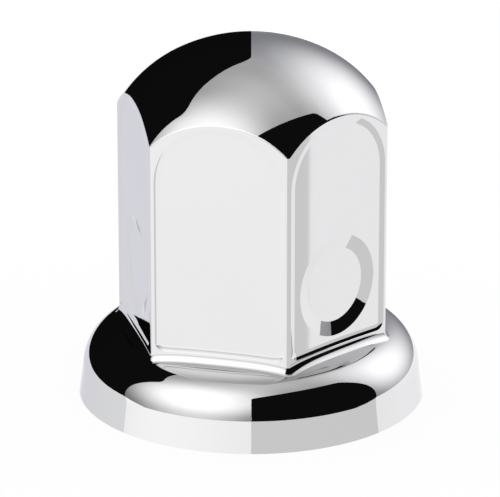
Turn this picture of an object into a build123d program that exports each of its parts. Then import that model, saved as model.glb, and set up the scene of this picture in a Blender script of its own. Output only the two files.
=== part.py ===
"""Push-on cover cap for a hexagonal truck wheel nut, moulded as one thin shell."""

import os
from math import cos, radians, sin, sqrt, tan

from build123d import *

os.makedirs("parts", exist_ok=True)

# Nut that the cap is pushed over, and the shell around it
nut_across_flats = 33.0
nut_clearance = 0.6
wall = 1.6
overall_height = 57.3
corner_round = 0.7
lead_in = 0.8
lead_in_slope = 45.0

# Rounded crown, a wide cap that runs on into a tighter shoulder
cap_radius = 26.8
shoulder_radius = 21.3
cap_half_angle = 28.0
arch_round = 0.4

# Domed flange with a drafted skirt
flange_diameter = 54.0
flange_height = 10.75
flange_round = 6.55
skirt_draft = 7.5
crest_overrun = 50.0
base_fillet = 1.55
foot_ring_band = 0.5

# Sunk panel on every flat, coved into the flat at its edge
panel_margin = 0.6
panel_depth = 0.2
cove_radius = 2.5
panel_top_gap = 0.6
panel_top_flat = 1.7
panel_foot_gap = 0.08
panel_foot_arch = 0.28
panel_foot_corner = 1.5

# Round dimple on every second flat, with a grip bump behind it
dimple_side_gap = 1.2
dimple_foot_gap = 0.62
dimple_depth = 0.54
dimple_wall_run = 2.15

# Overlap that keeps cutters and added pieces from meeting face to face
overlap = 0.5

# Barrel
space_apothem = nut_across_flats / 2 + nut_clearance
barrel_apothem = space_apothem + wall
barrel_corner = barrel_apothem / cos(radians(30))
flat_half_width = barrel_corner / 2

# Crown
cap_centre = overall_height - cap_radius
shoulder_offset = (cap_radius - shoulder_radius) * sin(radians(cap_half_angle))
shoulder_centre = cap_centre + (cap_radius - shoulder_radius) * cos(radians(cap_half_angle))
arch_top = shoulder_centre + sqrt(shoulder_radius**2 - (barrel_apothem - shoulder_offset) ** 2)

# Flange
crest_centre = flange_height - flange_round
skirt_top = flange_diameter / 2 - crest_centre * tan(radians(skirt_draft))
crest_radius = skirt_top - flange_round / cos(radians(skirt_draft))
ceiling = flange_height - wall

# Panel, measured where the cove meets the flat
cove_run = sqrt(2 * cove_radius * panel_depth - panel_depth**2)
cutter_growth = cove_radius - cove_run
panel_half_width = flat_half_width - panel_margin
panel_top = arch_top - panel_top_gap
panel_foot = flange_height + base_fillet + panel_foot_gap
panel_shoulder = panel_half_width - panel_top_flat / 2
floor_apothem = barrel_apothem - panel_depth

# Dimple, measured on the panel floor
dimple_radius = panel_half_width - cove_run - dimple_side_gap
dimple_floor_radius = dimple_radius - dimple_wall_run
dimple_height = panel_foot + cove_run + dimple_foot_gap + dimple_radius
dimple_spread = dimple_wall_run / dimple_depth


def front_plane(apothem, height=0.0):
    """Plane facing out of the front flat, at a distance from the axis and a height."""
    return Plane(origin=(0, -apothem, height), x_dir=(1, 0, 0), z_dir=(0, -1, 0))


def barrel_section(apothem, height=0.0):
    """Hexagon across the axis at a height, with its corners rounded."""
    with BuildSketch(Plane.XY.offset(height)) as section:
        RegularPolygon(apothem, 6, major_radius=False)
        fillet(section.vertices(), corner_round)
    return section.sketch


def crown_section(inset):
    """Half section of the crown and the column under it, drawn inside the outer skin."""
    with BuildSketch(Plane.YZ) as section:
        with BuildLine():
            cap = CenterArc((0, cap_centre), cap_radius - inset, 90, -cap_half_angle)
            shoulder = CenterArc(
                (shoulder_offset, shoulder_centre), shoulder_radius - inset, 0, 90 - cap_half_angle
            )
            Polyline(cap @ 0, (0, 0), ((shoulder @ 0).X, 0), shoulder @ 0)
        make_face()
    return section.sketch


def flange_section(inset):
    """Half section of the flange, drawn inside the outer skin, with its arc run on past the crest."""
    rim = flange_diameter / 2 - inset / cos(radians(skirt_draft))
    sweep = 90 - skirt_draft + crest_overrun
    with BuildSketch(Plane.YZ) as section:
        with BuildLine():
            dome = CenterArc((crest_radius, crest_centre), flange_round - inset, skirt_draft, sweep)
            Polyline(dome @ 1, (0, (dome @ 1).Y), (0, 0), (rim, 0), dome @ 0)
        make_face()
    return section.sketch


with BuildPart() as panel_cutter:
    with BuildSketch(front_plane(floor_apothem)) as panel_outline:
        half = panel_half_width + cutter_growth
        top = panel_top + cutter_growth
        foot = panel_foot - panel_foot_arch - cutter_growth
        with BuildLine():
            Polyline((-half, foot), (-half, top), (half, top), (half, foot))
            ThreePointArc((half, foot), (0, foot + panel_foot_arch), (-half, foot))
        make_face()
        fillet(panel_outline.vertices().group_by(Axis.Y)[-1], panel_shoulder + cutter_growth)
        fillet(panel_outline.vertices().group_by(Axis.Y)[0], panel_foot_corner + cutter_growth)
    extrude(amount=cove_radius + overlap)
    fillet(panel_cutter.faces().sort_by(Axis.Y)[-1].edges(), cove_radius)

with BuildPart() as dimple_cutter:
    with Locations(front_plane(floor_apothem - dimple_depth, dimple_height)):
        Cone(
            dimple_floor_radius,
            dimple_radius + overlap * dimple_spread,
            dimple_depth + overlap,
            align=(Align.CENTER, Align.CENTER, Align.MIN),
        )

with BuildPart() as grip_bump:
    with Locations(front_plane(nut_across_flats / 2, dimple_height)):
        Cone(
            dimple_floor_radius,
            dimple_floor_radius + (nut_clearance + overlap) * dimple_spread,
            nut_clearance + overlap,
            align=(Align.CENTER, Align.CENTER, Align.MIN),
        )

with BuildPart() as mouth_flare:
    flare_top = barrel_section(space_apothem, ceiling + lead_in)
    extrude(flare_top, amount=2 * lead_in, dir=(0, 0, -1), taper=-lead_in_slope)
    extrude(mouth_flare.faces().sort_by(Axis.Z)[0], amount=ceiling - lead_in)

with BuildPart() as nut_space:
    extrude(barrel_section(space_apothem), amount=overall_height)
    revolve(crown_section(wall), axis=Axis.Z, mode=Mode.INTERSECT)
    revolve(flange_section(wall), axis=Axis.Z)
    add(mouth_flare.part)

with BuildPart() as nut_cover:
    extrude(barrel_section(barrel_apothem), amount=overall_height)
    revolve(crown_section(0), axis=Axis.Z, mode=Mode.INTERSECT)
    arches = nut_cover.edges().filter_by_position(Axis.Z, shoulder_centre, arch_top)
    fillet(arches.filter_by(GeomType.LINE, reverse=True), arch_round)

    with PolarLocations(0, 6):
        add(panel_cutter.part, mode=Mode.SUBTRACT)
    with PolarLocations(0, 3, start_angle=60):
        add(dimple_cutter.part, mode=Mode.SUBTRACT)

    revolve(flange_section(0), axis=Axis.Z)
    foot_ring = nut_cover.edges().filter_by_position(Axis.Z, flange_height - foot_ring_band, flange_height)
    fillet(foot_ring, base_fillet)

    add(nut_space.part, mode=Mode.SUBTRACT)
    with PolarLocations(0, 3, start_angle=60):
        add(grip_bump.part)

nut_cover.part.label = "nut_cover"
export_step(nut_cover.part, "parts/nut_cover.step")
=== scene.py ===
"""Studio picture of a chrome-plated wheel nut cover cap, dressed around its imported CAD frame."""

import logging
import math
from dataclasses import dataclass, field
from enum import Enum
from typing import Any

import bpy
from mathutils import Euler, Matrix, Vector


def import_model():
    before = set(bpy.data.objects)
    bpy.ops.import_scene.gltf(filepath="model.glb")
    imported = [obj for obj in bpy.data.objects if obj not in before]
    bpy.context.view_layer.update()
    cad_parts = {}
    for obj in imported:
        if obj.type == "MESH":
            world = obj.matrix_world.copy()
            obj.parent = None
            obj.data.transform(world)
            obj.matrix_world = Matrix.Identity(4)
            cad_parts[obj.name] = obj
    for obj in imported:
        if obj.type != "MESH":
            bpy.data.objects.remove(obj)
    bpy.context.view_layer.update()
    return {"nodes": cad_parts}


LOG = logging.getLogger("nut_cover_scene")
MM = 0.001
WHITE = "#FFFFFF"
QUARTER_TURN = math.pi / 2
# Turn from one flat of the barrel to the next
FLAT_TURN = math.tau / 6

Node = bpy.types.Node
Socket = bpy.types.NodeSocket
Tree = bpy.types.NodeTree
Colour = tuple[float, float, float, float]
Pair = tuple[float, float]


class MixSockets(Enum):
    """Numbers of a Mix node's two inputs and its output for each kind of value, as their names repeat."""

    FLOAT = (2, 3, 0)
    VECTOR = (4, 5, 1)
    RGBA = (6, 7, 2)


def linear(hex_code: str) -> Colour:
    """Turn an sRGB hex colour into Blender's linear colour.

    Args:
        hex_code: Colour written as #RRGGBB.

    Returns:
        Linear red, green, blue and an alpha of one.
    """
    shares = [int(hex_code[i : i + 2], 16) / 255 for i in (1, 3, 5)]
    channels = [s / 12.92 if s <= 0.04045 else ((s + 0.055) / 1.055) ** 2.4 for s in shares]
    return (channels[0], channels[1], channels[2], 1.0)


def add_node(
    tree: Tree,
    kind: str,
    settings: dict[str, Any] | None = None,
    inputs: dict[str | int, Any] | None = None,
) -> Node:
    """Add one node, set its options and fill or link its inputs.

    Args:
        tree: Node tree that gets the node.
        kind: Blender's name for the node type.
        settings: Options of the node, by attribute name.
        inputs: Values for the inputs, or output sockets to link to them.

    Returns:
        The new node.
    """
    node = tree.nodes.new(kind)
    for name, value in (settings or {}).items():
        setattr(node, name, value)
    for key, value in (inputs or {}).items():
        if isinstance(value, Socket):
            tree.links.new(value, node.inputs[key])
        else:
            node.inputs[key].default_value = value
    return node


def empty_material(name: str) -> tuple[bpy.types.Material, Tree]:
    """Make a material with an empty node tree.

    Args:
        name: The material's name.

    Returns:
        The material and its tree.
    """
    material = bpy.data.materials.new(name)
    material.use_nodes = True
    material.node_tree.nodes.clear()
    return material, material.node_tree


@dataclass(frozen=True)
class ShellForm:
    """Rounded forms of the shell in millimetres, which give the mirror normals without facets.

    A form's normal holds in full up to the first of its two angles from the shell's own normal, and not
    at all from the second.
    """

    cap_radius: float = 26.8
    shoulder_radius: float = 21.3
    shoulder_offset: float = 2.58
    crown_foot: float = 40.0
    crown_blend: float = 0.02
    crown_agree_deg: Pair = (3.0, 6.0)
    flange_round: float = 6.55
    crest_radius: float = 19.84
    crest_height: float = 4.2
    dome_foot: Pair = (5.5, 6.3)
    flange_agree_deg: Pair = (15.0, 25.0)
    barrel_apothem: float = 18.7
    flat_half_width: float = 10.39
    base_fillet: float = 1.55
    fillet_agree_deg: Pair = (25.0, 35.0)
    slack: float = 0.03

    def agreement(self, tree: Tree, coords: Node, level: Socket, limits_deg: Pair) -> Socket:
        """Tell how well a levelled normal agrees with the shell's own.

        Args:
            tree: The material's tree.
            coords: Its texture coordinate node.
            level: The levelled normal.
            limits_deg: Angle up to which they agree in full, and from which they don't agree at all.

        Returns:
            Socket that runs from zero to one.
        """
        agree = add_node(
            tree,
            "ShaderNodeVectorMath",
            {"operation": "DOT_PRODUCT"},
            {0: level, 1: coords.outputs["Normal"]},
        )
        share = add_node(
            tree,
            "ShaderNodeMapRange",
            inputs={
                "Value": agree.outputs["Value"],
                "From Min": math.cos(math.radians(limits_deg[1])),
                "From Max": math.cos(math.radians(limits_deg[0])),
            },
        )
        return share.outputs["Result"]

    def all_of(self, tree: Tree, masks: list[Socket]) -> Socket:
        """Multiply several masks.

        Args:
            tree: The material's tree.
            masks: Sockets that run from zero to one.

        Returns:
            Socket with their product.
        """
        share = masks[0]
        for mask in masks[1:]:
            product = add_node(tree, "ShaderNodeMath", {"operation": "MULTIPLY"}, {0: share, 1: mask})
            share = product.outputs[0]
        return share

    def from_axis(self, tree: Tree, place: Socket) -> tuple[Socket, Socket]:
        """Find the level way from the cap's axis to a place.

        Args:
            tree: The material's tree.
            place: The place in object coordinates.

        Returns:
            Sockets with the way and with its direction.
        """
        way = add_node(tree, "ShaderNodeVectorMath", {"operation": "MULTIPLY"}, {0: place, 1: (1, 1, 0)})
        outward = add_node(tree, "ShaderNodeVectorMath", {"operation": "NORMALIZE"}, {0: way.outputs[0]})
        return way.outputs[0], outward.outputs[0]

    def crown(self, tree: Tree, coords: Node) -> tuple[Socket, Socket]:
        """Level the crown, so that its cap runs into its shoulder without a crease in the mirror.

        Args:
            tree: The material's tree.
            coords: Its texture coordinate node.

        Returns:
            Sockets with the levelled normal and with where it holds.
        """
        place = coords.outputs["Object"]
        way, outward = self.from_axis(tree, place)
        reach = add_node(tree, "ShaderNodeVectorMath", {"operation": "LENGTH"}, {0: way})
        cap = add_node(
            tree,
            "ShaderNodeMath",
            {"operation": "DIVIDE"},
            {0: reach.outputs["Value"], 1: self.cap_radius * MM},
        )
        shoulder = add_node(
            tree,
            "ShaderNodeMath",
            {"operation": "MULTIPLY_ADD"},
            {
                0: reach.outputs["Value"],
                1: 1 / (self.shoulder_radius * MM),
                2: -self.shoulder_offset / self.shoulder_radius,
            },
        )
        lean = add_node(
            tree,
            "ShaderNodeMath",
            {"operation": "SMOOTH_MAX"},
            {0: cap.outputs[0], 1: shoulder.outputs[0], 2: self.crown_blend},
        )
        angle = add_node(tree, "ShaderNodeMath", {"operation": "ARCSINE"}, {0: lean.outputs[0]})
        rise = add_node(tree, "ShaderNodeMath", {"operation": "COSINE"}, {0: angle.outputs[0]})
        upward = add_node(tree, "ShaderNodeCombineXYZ", inputs={"Z": rise.outputs[0]})
        level = add_node(
            tree,
            "ShaderNodeVectorMath",
            {"operation": "MULTIPLY_ADD"},
            {0: outward, 1: lean.outputs[0], 2: upward.outputs[0]},
        ).outputs[0]
        height = add_node(tree, "ShaderNodeSeparateXYZ", inputs={0: place})
        high = add_node(
            tree,
            "ShaderNodeMath",
            {"operation": "GREATER_THAN"},
            {0: height.outputs["Z"], 1: self.crown_foot * MM},
        )
        agree = self.agreement(tree, coords, level, self.crown_agree_deg)
        return level, self.all_of(tree, [high.outputs[0], agree])

    def flange(self, tree: Tree, coords: Node) -> tuple[Socket, Socket]:
        """Level the flange's dome, a ring with a round section.

        Args:
            tree: The material's tree.
            coords: Its texture coordinate node.

        Returns:
            Sockets with the levelled normal and with where it holds.
        """
        place = coords.outputs["Object"]
        _, outward = self.from_axis(tree, place)
        ring = add_node(
            tree,
            "ShaderNodeVectorMath",
            {"operation": "MULTIPLY_ADD"},
            {
                0: outward,
                1: (self.crest_radius * MM, self.crest_radius * MM, 0),
                2: (0, 0, self.crest_height * MM),
            },
        )
        spoke = add_node(
            tree, "ShaderNodeVectorMath", {"operation": "SUBTRACT"}, {0: place, 1: ring.outputs[0]}
        )
        level = add_node(
            tree, "ShaderNodeVectorMath", {"operation": "NORMALIZE"}, {0: spoke.outputs[0]}
        ).outputs[0]
        reach = add_node(tree, "ShaderNodeVectorMath", {"operation": "LENGTH"}, {0: spoke.outputs[0]})
        on_skin = add_node(
            tree,
            "ShaderNodeMath",
            {"operation": "COMPARE"},
            {0: reach.outputs["Value"], 1: self.flange_round * MM, 2: self.slack * MM},
        )
        height = add_node(tree, "ShaderNodeSeparateXYZ", inputs={0: place})
        high = add_node(
            tree,
            "ShaderNodeMapRange",
            inputs={
                "Value": height.outputs["Z"],
                "From Min": self.dome_foot[0] * MM,
                "From Max": self.dome_foot[1] * MM,
            },
        )
        agree = self.agreement(tree, coords, level, self.flange_agree_deg)
        return level, self.all_of(tree, [on_skin.outputs[0], high.outputs[0], agree])

    def nearest_flat(self, tree: Tree, place: Socket) -> tuple[Socket, Node]:
        """Turn the nearest flat of the barrel to the front.

        Args:
            tree: The material's tree.
            place: The place in object coordinates.

        Returns:
            Socket with the flat's turn from the front, and a node with the turned place's X, Y and Z.
        """
        spot = add_node(tree, "ShaderNodeSeparateXYZ", inputs={0: place})
        around = add_node(
            tree, "ShaderNodeMath", {"operation": "ARCTAN2"}, {0: spot.outputs["Y"], 1: spot.outputs["X"]}
        )
        # Counted from half a flat before the front, so that snapping down finds the nearest flat
        ahead = add_node(
            tree,
            "ShaderNodeMath",
            {"operation": "ADD"},
            {0: around.outputs[0], 1: QUARTER_TURN + FLAT_TURN / 2},
        )
        turn = add_node(
            tree, "ShaderNodeMath", {"operation": "SNAP"}, {0: ahead.outputs[0], 1: FLAT_TURN}
        )
        front = add_node(
            tree,
            "ShaderNodeVectorRotate",
            {"rotation_type": "Z_AXIS", "invert": True},
            {"Vector": place, "Angle": turn.outputs[0]},
        )
        return turn.outputs[0], add_node(tree, "ShaderNodeSeparateXYZ", inputs={0: front.outputs[0]})

    def ball_centre(self, tree: Tree, local: Node) -> tuple[Socket, Socket, Socket]:
        """Find the ball that rolls the fillet along X, between the flat and the flange's dome.

        Args:
            tree: The material's tree.
            local: X, Y and Z of the place, with its flat turned to the front.

        Returns:
            Sockets with the way from the place to the ball's centre, with the centre's height over the
            place, and with its height over the flange's ring.
        """
        ball = (self.barrel_apothem + self.base_fillet) * MM
        swing = (self.flange_round + self.base_fillet) * MM
        track = add_node(tree, "ShaderNodeCombineXYZ", inputs={"X": local.outputs["X"], "Y": ball})
        reach = add_node(tree, "ShaderNodeVectorMath", {"operation": "LENGTH"}, {0: track.outputs[0]})
        past = add_node(
            tree,
            "ShaderNodeMath",
            {"operation": "SUBTRACT"},
            {0: reach.outputs["Value"], 1: self.crest_radius * MM},
        )
        short = add_node(tree, "ShaderNodeMath", {"operation": "MULTIPLY"}, {0: past.outputs[0], 1: -1.0})
        square = add_node(
            tree,
            "ShaderNodeMath",
            {"operation": "MULTIPLY_ADD"},
            {0: past.outputs[0], 1: short.outputs[0], 2: swing**2},
        )
        rise = add_node(tree, "ShaderNodeMath", {"operation": "SQRT"}, {0: square.outputs[0]})
        over = add_node(
            tree, "ShaderNodeMath", {"operation": "SUBTRACT"}, {0: rise.outputs[0], 1: local.outputs["Z"]}
        )
        lift = add_node(
            tree, "ShaderNodeMath", {"operation": "ADD"}, {0: over.outputs[0], 1: self.crest_height * MM}
        )
        # The track falls away towards the corners, so the nearest centre lies a little along it
        lean = add_node(
            tree, "ShaderNodeMath", {"operation": "DIVIDE"}, {0: short.outputs[0], 1: rise.outputs[0]}
        )
        side = add_node(
            tree,
            "ShaderNodeMath",
            {"operation": "DIVIDE"},
            {0: local.outputs["X"], 1: reach.outputs["Value"]},
        )
        slope = add_node(
            tree, "ShaderNodeMath", {"operation": "MULTIPLY"}, {0: lean.outputs[0], 1: side.outputs[0]}
        )
        fall = add_node(tree, "ShaderNodeMath", {"operation": "MULTIPLY"}, {0: slope.outputs[0], 1: -1.0})
        along = add_node(
            tree, "ShaderNodeMath", {"operation": "MULTIPLY"}, {0: lift.outputs[0], 1: fall.outputs[0]}
        )
        up = add_node(
            tree,
            "ShaderNodeMath",
            {"operation": "MULTIPLY_ADD"},
            {0: along.outputs[0], 1: slope.outputs[0], 2: lift.outputs[0]},
        )
        out = add_node(
            tree, "ShaderNodeMath", {"operation": "SUBTRACT"}, {0: -ball, 1: local.outputs["Y"]}
        )
        spoke = add_node(
            tree,
            "ShaderNodeCombineXYZ",
            inputs={"X": along.outputs[0], "Y": out.outputs[0], "Z": up.outputs[0]},
        )
        return spoke.outputs[0], lift.outputs[0], rise.outputs[0]

    def fillet(self, tree: Tree, coords: Node) -> tuple[Socket, Socket]:
        """Level the fillet at the foot of the flats, from the flat down to the flange.

        Args:
            tree: The material's tree.
            coords: Its texture coordinate node.

        Returns:
            Sockets with the levelled normal and with where it holds.
        """
        turn, local = self.nearest_flat(tree, coords.outputs["Object"])
        spoke, lift, rise = self.ball_centre(tree, local)
        facing = add_node(tree, "ShaderNodeVectorMath", {"operation": "NORMALIZE"}, {0: spoke})
        level = add_node(
            tree,
            "ShaderNodeVectorRotate",
            {"rotation_type": "Z_AXIS"},
            {"Vector": facing.outputs[0], "Angle": turn},
        ).outputs[0]
        radius = add_node(tree, "ShaderNodeVectorMath", {"operation": "LENGTH"}, {0: spoke})
        on_ball = add_node(
            tree,
            "ShaderNodeMath",
            {"operation": "COMPARE"},
            {0: radius.outputs["Value"], 1: self.base_fillet * MM, 2: self.slack * MM},
        )
        below_flat = add_node(tree, "ShaderNodeMath", {"operation": "GREATER_THAN"}, {0: lift, 1: 0.0})
        steepness = add_node(tree, "ShaderNodeMath", {"operation": "DIVIDE"}, {0: lift, 1: rise})
        above_dome = add_node(
            tree,
            "ShaderNodeMath",
            {"operation": "LESS_THAN"},
            {0: steepness.outputs[0], 1: self.base_fillet / (self.flange_round + self.base_fillet)},
        )
        on_flat = add_node(
            tree,
            "ShaderNodeMath",
            {"operation": "COMPARE"},
            {0: local.outputs["X"], 1: 0.0, 2: self.flat_half_width * MM},
        )
        masks = [mask.outputs[0] for mask in (on_ball, below_flat, above_dome, on_flat)]
        masks.append(self.agreement(tree, coords, level, self.fillet_agree_deg))
        return level, self.all_of(tree, masks)

    def normal(self, tree: Tree, coords: Node) -> Socket:
        """Join the levelled normals with the shell's own.

        Args:
            tree: The material's tree.
            coords: Its texture coordinate node.

        Returns:
            Socket with the normal to shade with.
        """
        first, second, mixed = MixSockets.VECTOR.value
        normal = coords.outputs["Normal"]
        for form in (self.crown, self.flange, self.fillet):
            level, share = form(tree, coords)
            normal = add_node(
                tree, "ShaderNodeMix", {"data_type": "VECTOR"}, {0: share, first: normal, second: level}
            ).outputs[mixed]
        return add_node(
            tree,
            "ShaderNodeVectorTransform",
            {"vector_type": "NORMAL", "convert_from": "OBJECT", "convert_to": "WORLD"},
            {0: normal},
        ).outputs[0]


@dataclass(frozen=True)
class ChromePlating:
    """Bright chrome plated on moulded ABS, with a duller inside that the bath reaches badly."""

    # A neutral mirror, with a haze and a tone that drift a little as on any plated moulding
    name: str = "chrome_plated_abs"
    colour: str = "#C6C5C5"
    cloud_colour: str = "#C4C4C5"
    grazing_tint: str = "#E1E1E2"
    cloud_mm: float = 14.0
    haze: Pair = (0.012, 0.024)
    haze_mm: float = 9.0
    inside_colour: str = "#A6A7A9"
    inside_roughness: float = 0.3
    heart_height_mm: float = 5.0
    form: ShellForm = ShellForm()

    def inside(self, tree: Tree, coords: Node) -> Socket:
        """Tell the inside of the shell from its outside by which way the surface faces.

        Args:
            tree: The material's tree.
            coords: Its texture coordinate node.

        Returns:
            Socket that is one inside the shell and zero outside.
        """
        from_heart = add_node(
            tree,
            "ShaderNodeVectorMath",
            {"operation": "SUBTRACT"},
            {0: coords.outputs["Object"], 1: (0, 0, self.heart_height_mm * MM)},
        )
        facing = add_node(
            tree,
            "ShaderNodeVectorMath",
            {"operation": "DOT_PRODUCT"},
            {0: coords.outputs["Normal"], 1: from_heart.outputs["Vector"]},
        )
        return add_node(
            tree, "ShaderNodeMath", {"operation": "LESS_THAN"}, {0: facing.outputs["Value"], 1: 0.0}
        ).outputs[0]

    def drift(self, tree: Tree, coords: Node, size_mm: float) -> Socket:
        """Make a soft cloud that drifts over the surface.

        Args:
            tree: The material's tree.
            coords: Its texture coordinate node.
            size_mm: Width of one cloud in millimetres.

        Returns:
            Socket that runs softly between zero and one.
        """
        cloud = add_node(
            tree,
            "ShaderNodeTexNoise",
            inputs={"Vector": coords.outputs["Object"], "Scale": 1 / (size_mm * MM), "Detail": 1.0},
        )
        return cloud.outputs["Fac"]

    def material(self) -> bpy.types.Material:
        """Build the plating's node material.

        Returns:
            The finished material.
        """
        material, tree = empty_material(self.name)
        coords = add_node(tree, "ShaderNodeTexCoord")
        inside = self.inside(tree, coords)
        first, second, mixed = MixSockets.RGBA.value
        plate = add_node(
            tree,
            "ShaderNodeMix",
            {"data_type": "RGBA"},
            {
                0: self.drift(tree, coords, self.cloud_mm),
                first: linear(self.colour),
                second: linear(self.cloud_colour),
            },
        )
        colour = add_node(
            tree,
            "ShaderNodeMix",
            {"data_type": "RGBA"},
            {0: inside, first: plate.outputs[mixed], second: linear(self.inside_colour)},
        ).outputs[mixed]
        haze = add_node(
            tree,
            "ShaderNodeMapRange",
            inputs={
                "Value": self.drift(tree, coords, self.haze_mm),
                "To Min": self.haze[0],
                "To Max": self.haze[1],
            },
        )
        first, second, mixed = MixSockets.FLOAT.value
        roughness = add_node(
            tree,
            "ShaderNodeMix",
            inputs={0: inside, first: haze.outputs["Result"], second: self.inside_roughness},
        ).outputs[mixed]
        shader = add_node(
            tree,
            "ShaderNodeBsdfPrincipled",
            inputs={
                "Base Color": colour,
                "Metallic": 1.0,
                "Roughness": roughness,
                "Specular Tint": linear(self.grazing_tint),
                "Normal": self.form.normal(tree, coords),
            },
        )
        add_node(tree, "ShaderNodeOutputMaterial", inputs={"Surface": shader.outputs["BSDF"]})
        return material


@dataclass(frozen=True)
class Glow:
    """Soft patch of light on a card: even over its core, gone at its reach, placed on the whole wall."""

    centre: Pair
    reach: Pair
    strength: float
    core: float = 0.0
    tint: str = WHITE


@dataclass(frozen=True)
class CardFinish:
    """Card that the chrome mirrors, written in the tones that the chrome shows of it."""

    # Lit cloth or black velvet, which the eye meets only as plain and fading tones in the mirror
    name: str
    tone: str
    glows: tuple[Glow, ...] = ()
    # Chromium gives back a little over half of the light, which this makes up for
    strength: float = 1.79

    def material(self, middle: Pair, unit: float) -> bpy.types.Material:
        """Build the card's glowing material.

        Args:
            middle: Place of the card's middle on the wall.
            unit: Length in metres that places and reaches on the wall are counted in.

        Returns:
            The finished material.
        """
        material, tree = empty_material(self.name)
        shine = add_node(
            tree, "ShaderNodeEmission", inputs={"Color": linear(self.tone), "Strength": self.strength}
        )
        total: Socket | tuple[float, ...] = linear(self.tone)[:3]
        for glow in self.glows:
            place = add_node(tree, "ShaderNodeTexCoord")
            offset = add_node(
                tree,
                "ShaderNodeMapping",
                {"vector_type": "TEXTURE"},
                {
                    "Vector": place.outputs["Object"],
                    "Location": [(glow.centre[i] - middle[i]) * unit for i in (0, 1)] + [0.0],
                    "Scale": [reach * unit for reach in glow.reach] + [1.0],
                },
            )
            distance = add_node(
                tree, "ShaderNodeVectorMath", {"operation": "LENGTH"}, {0: offset.outputs["Vector"]}
            )
            fade = add_node(
                tree,
                "ShaderNodeMapRange",
                {"interpolation_type": "SMOOTHSTEP"},
                {
                    "Value": distance.outputs["Value"],
                    "From Min": glow.core,
                    "To Min": glow.strength,
                    "To Max": 0.0,
                },
            )
            total = add_node(
                tree,
                "ShaderNodeVectorMath",
                {"operation": "MULTIPLY_ADD"},
                {0: fade.outputs["Result"], 1: linear(glow.tint)[:3], 2: total},
            ).outputs["Vector"]
            tree.links.new(total, shine.inputs["Color"])
        add_node(tree, "ShaderNodeOutputMaterial", inputs={"Surface": shine.outputs["Emission"]})
        material.cycles.emission_sampling = "NONE"
        return material


class WallSide(Enum):
    """Side of the tent, in quarter turns from the wall that the dimpled flat at the front right faces."""

    FRONT_RIGHT = 0
    BACK_RIGHT = 1
    BACK_LEFT = 2
    FRONT_LEFT = 3


@dataclass(frozen=True)
class Span:
    """Stretch of a wall that a card covers, in half widths of the tent from its middle at floor level."""

    left: float
    right: float
    low: float
    high: float

    def middle(self) -> Pair:
        """Give the middle of the stretch."""
        return ((self.left + self.right) / 2, (self.low + self.high) / 2)


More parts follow.
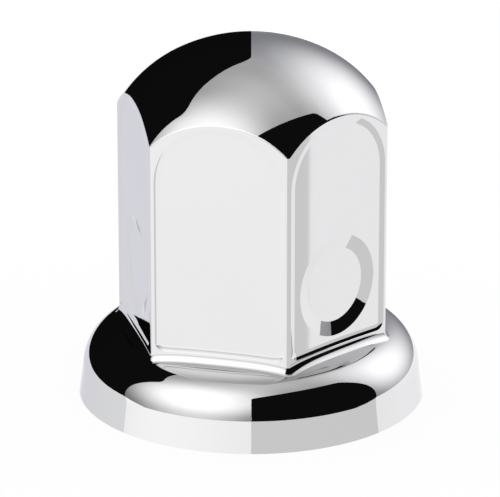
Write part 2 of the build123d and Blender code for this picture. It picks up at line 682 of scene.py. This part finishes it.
@dataclass
class ReflectionTent:
    """White tent around the cap with two black flags inside it, seen only in its chrome.

    Its half width is in metres, and every other length is counted in half widths.
    """

    half_width: float = 0.77
    yaw_deg: float = -29.92
    front_foot: float = -0.11
    back_foot: float = -0.1
    top: float = 1.71
    overrun: float = 1.35
    apron_depth: float = 3.0
    apron_seam: float = 0.991
    flag_tone: str = "#0C0C0C"
    flag_distance: float = 0.88
    front_flag_top: float = 1.87
    front_flag_corner: float = 0.12
    back_flag_top: float = 1.765
    back_flag_end: float = 0.96
    back_flag_corner: float = 0.22
    corner_segments: int = 12

    def card(
        self, span: Span, unit: float, place: Matrix, finish: CardFinish, corner: float = 0.0
    ) -> None:
        """Add one card that shows in reflections only.

        Args:
            span: Stretch of the wall or ceiling that it covers.
            unit: Length in metres that the stretch is counted in.
            place: Place of the card's middle, with its own X and Y along its width and height.
            finish: What the card looks like.
            corner: Radius of its two upper corners, counted like the stretch.
        """
        bpy.ops.object.select_all(action="DESELECT")
        bpy.ops.mesh.primitive_plane_add(size=unit)
        card = bpy.context.object
        card.name = finish.name
        card.scale = (span.right - span.left, span.high - span.low, 1)
        bpy.ops.object.transform_apply(location=False, rotation=False, scale=True)
        if corner:
            self.round_top(card, corner * unit)
        card.matrix_world = place
        card.data.materials.append(finish.material(span.middle(), unit))
        card.visible_camera = False
        card.visible_diffuse = False
        card.visible_shadow = False
        LOG.info("card %s", card.name)

    def round_top(self, card: bpy.types.Object, radius: float) -> None:
        """Round the two upper corners of a card.

        Args:
            card: The card, lying flat.
            radius: Radius of the corners in metres.
        """
        bpy.ops.object.mode_set(mode="EDIT")
        bpy.ops.mesh.select_mode(type="VERT")
        bpy.ops.mesh.select_all(action="DESELECT")
        bpy.ops.object.mode_set(mode="OBJECT")
        for vertex in card.data.vertices:
            vertex.select = vertex.co.y > 0
        bpy.ops.object.mode_set(mode="EDIT")
        bpy.ops.mesh.bevel(offset=radius, segments=self.corner_segments, affect="VERTICES")
        bpy.ops.object.mode_set(mode="OBJECT")

    def hang(
        self, side: WallSide, span: Span, finish: CardFinish, distance: float = 1.0, corner: float = 0.0
    ) -> None:
        """Hang one card on a side of the tent.

        Args:
            side: Side of the tent.
            span: Stretch of that wall that the card covers, as seen from the cap.
            finish: What the card looks like.
            distance: Share of the way to the wall at which the card hangs, shrunk alike.
            corner: Radius of its upper corners, counted like the stretch.
        """
        heading = math.radians(self.yaw_deg) + side.value * QUARTER_TURN
        unit = self.half_width * distance
        across, up = span.middle()
        turn = Euler((QUARTER_TURN, 0, heading + QUARTER_TURN)).to_matrix().to_4x4()
        place = turn @ Matrix.Translation(Vector((across, up, 1)) * unit)
        self.card(span, unit, place, finish, corner)

    def hang_flags(self) -> None:
        """Hang the black flags on the front right and the back left."""
        front = CardFinish(name="front_flag", tone=self.flag_tone)
        span = Span(left=-1, right=1, low=self.front_foot, high=self.front_flag_top)
        self.hang(WallSide.FRONT_RIGHT, span, front, self.flag_distance, self.front_flag_corner)
        back = CardFinish(name="back_flag", tone=self.flag_tone)
        span = Span(left=-1, right=self.back_flag_end, low=self.back_foot, high=self.back_flag_top)
        self.hang(WallSide.BACK_LEFT, span, back, self.flag_distance, self.back_flag_corner)

    def hang_boxes(self) -> None:
        """Hang the soft boxes on the front left and the back right, running on behind the flags."""
        left = CardFinish(
            name="left_softbox",
            tone="#737373",
            glows=(
                Glow(centre=(0.06, 0.88), reach=(0.94, 1.74), strength=0.36),
                Glow(centre=(0.12, 1.37), reach=(1.74, 1.95), strength=0.67, core=0.42),
            ),
        )
        span = Span(left=-self.overrun, right=self.overrun, low=self.front_foot, high=self.top)
        self.hang(WallSide.FRONT_LEFT, span, left)
        right = CardFinish(
            name="right_softbox",
            tone="#7E7F83",
            glows=(
                Glow(centre=(-0.19, 0.54), reach=(0.91, 0.95), strength=0.53),
                Glow(centre=(-0.27, 0.8), reach=(1.28, 1.29), strength=0.32, core=0.37),
                Glow(centre=(-0.35, 2.54), reach=(2.71, 2.73), strength=0.325),
            ),
        )
        span = Span(left=-self.overrun, right=self.overrun, low=self.back_foot, high=self.top)
        self.hang(WallSide.BACK_RIGHT, span, right)

    def hang_aprons(self) -> None:
        """Hang the pale aprons under the four walls."""
        low = -self.apron_depth
        grey = CardFinish(name="grey_apron", tone="#C7C7C7")
        span = Span(left=-1, right=self.apron_seam, low=low, high=self.front_foot)
        self.hang(WallSide.FRONT_RIGHT, span, grey)
        glow = Glow(centre=(-0.4, self.front_foot), reach=(1.5, 0.3), strength=0.08)
        left = CardFinish(name="left_apron", tone="#EBEBEB", glows=(glow,))
        self.hang(WallSide.FRONT_LEFT, Span(left=-1, right=1, low=low, high=self.front_foot), left)
        glow = Glow(centre=(0.5, self.back_foot), reach=(1.4, 0.6), strength=0.15)
        right = CardFinish(name="right_apron", tone="#E6E6E7", glows=(glow,))
        span = Span(left=-self.overrun, right=1, low=low, high=self.back_foot)
        self.hang(WallSide.BACK_RIGHT, span, right)
        glow = Glow(centre=(-1, -0.3), reach=(1.5, 9), strength=0.065, core=0.45, tint="#B4A0FF")
        cool = CardFinish(name="cool_apron", tone="#D5D6D7", glows=(glow,))
        self.hang(WallSide.BACK_LEFT, Span(left=-1, right=1, low=low, high=self.back_foot), cool)

    def hang_ceiling(self) -> None:
        """Close the tent with its ceiling, whose X runs to the front right and Y to the back right."""
        finish = CardFinish(
            name="ceiling",
            tone="#A0A0A0",
            glows=(
                Glow(centre=(0.09, -1.89), reach=(1.83, 2.1), strength=0.67, core=0.36),
                Glow(centre=(0.29, 1.26), reach=(1.25, 0.88), strength=0.33),
                Glow(centre=(-0.01, 0.16), reach=(1.08, 0.72), strength=0.13),
            ),
        )
        turn = Matrix.Rotation(math.radians(self.yaw_deg), 4, "Z")
        place = turn @ Matrix.Translation((0, 0, self.top * self.half_width))
        span = Span(left=-self.overrun, right=self.overrun, low=-1, high=1)
        self.card(span, self.half_width, place, finish)

    def build(self) -> None:
        """Hang all the cards."""
        self.hang_flags()
        self.hang_boxes()
        self.hang_aprons()
        self.hang_ceiling()


@dataclass
class Floor:
    """Plain white paper that the cap stands on, which keeps a light shadow."""

    size: float = 8.0
    # Uncoated paper, an even white without any shine
    name: str = "matt_white_paper"
    colour: str = "#FDFDFD"
    # Plain white over the paper's own shading, of which it leaves a light shadow
    plain_share: float = 0.92

    def build(self) -> None:
        """Lay the paper, white from above, clear from below and left out of the chrome."""
        bpy.ops.object.select_all(action="DESELECT")
        bpy.ops.mesh.primitive_plane_add(size=self.size)
        floor = bpy.context.object
        floor.name = "floor"
        material, tree = empty_material(self.name)
        paper = add_node(tree, "ShaderNodeBsdfDiffuse", inputs={"Color": linear(self.colour)})
        white = add_node(tree, "ShaderNodeEmission", inputs={"Color": linear(WHITE)})
        path = add_node(tree, "ShaderNodeLightPath")
        seen = path.outputs["Is Camera Ray"]
        for ray in ("Is Glossy Ray", "Is Transmission Ray"):
            seen = add_node(
                tree, "ShaderNodeMath", {"operation": "MAXIMUM"}, {0: seen, 1: path.outputs[ray]}
            ).outputs[0]
        share = add_node(
            tree, "ShaderNodeMath", {"operation": "MULTIPLY"}, {0: seen, 1: self.plain_share}
        )
        top = add_node(
            tree,
            "ShaderNodeMixShader",
            inputs={0: share.outputs[0], 1: paper.outputs["BSDF"], 2: white.outputs["Emission"]},
        )
        side = add_node(tree, "ShaderNodeNewGeometry")
        clear = add_node(tree, "ShaderNodeBsdfTransparent")
        both = add_node(
            tree,
            "ShaderNodeMixShader",
            inputs={0: side.outputs["Backfacing"], 1: top.outputs["Shader"], 2: clear.outputs["BSDF"]},
        )
        add_node(tree, "ShaderNodeOutputMaterial", inputs={"Surface": both.outputs["Shader"]})
        material.cycles.emission_sampling = "NONE"
        floor.data.materials.append(material)
        floor.visible_glossy = False
        LOG.info("floor of %s", self.name)


@dataclass
class StudioDome:
    """Even white light from all round."""

    strength: float = 1.0

    def build(self) -> None:
        """Set the world to a plain white dome."""
        world = bpy.data.worlds.new("white_dome")
        world.use_nodes = True
        tree = world.node_tree
        tree.nodes.clear()
        sky = add_node(
            tree, "ShaderNodeBackground", inputs={"Color": linear(WHITE), "Strength": self.strength}
        )
        add_node(tree, "ShaderNodeOutputWorld", inputs={"Surface": sky.outputs["Background"]})
        bpy.context.scene.world = world
        LOG.info("world %s", world.name)


@dataclass
class PhotoCamera:
    """Camera at the photograph's viewing angle, fitted to the cap's outline."""

    azimuth_deg: float = 15.08
    elevation_deg: float = 20.41
    distance: float = 662.96 * MM
    target_height: float = 23.135 * MM
    lens_px: float = 4271.0
    image_width_px: float = 500.0
    offset_px: float = 1.3
    sensor_mm: float = 36.0

    def build(self) -> None:
        """Place the camera and make it the scene's own."""
        azimuth = math.radians(self.azimuth_deg)
        elevation = math.radians(self.elevation_deg)
        level = math.cos(elevation)
        back = Vector((math.sin(azimuth) * level, -math.cos(azimuth) * level, math.sin(elevation)))
        camera = bpy.data.cameras.new("photo_camera")
        camera.sensor_width = self.sensor_mm
        camera.lens = self.lens_px / self.image_width_px * self.sensor_mm
        camera.shift_x = -self.offset_px / self.image_width_px
        holder = bpy.data.objects.new("photo_camera", camera)
        bpy.context.scene.collection.objects.link(holder)
        holder.location = Vector((0, 0, self.target_height)) + back * self.distance
        holder.rotation_euler = (-back).to_track_quat("-Z", "Y").to_euler()
        bpy.context.scene.camera = holder
        LOG.info("camera %s", holder.name)


@dataclass
class NutCover:
    """The cap itself, one plated shell."""

    node_name: str = "nut_cover"
    finish: ChromePlating = field(default_factory=ChromePlating)

    def dress(self, node: bpy.types.Object) -> None:
        """Give the shell its plating.

        Args:
            node: The shell as it came from the frame.
        """
        node.data.materials.clear()
        node.data.materials.append(self.finish.material())
        LOG.info("dressed %s", node.name)


def main() -> None:
    """Load the frame, dress the cap and set up the studio around it."""
    logging.basicConfig(level=logging.INFO, format="%(name)s: %(message)s")
    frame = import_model()
    bpy.context.scene.view_settings.view_transform = "Standard"
    cover = NutCover()
    cover.dress(frame["nodes"][cover.node_name])
    Floor().build()
    ReflectionTent().build()
    StudioDome().build()
    PhotoCamera().build()


if __name__ == "__main__":
    main()
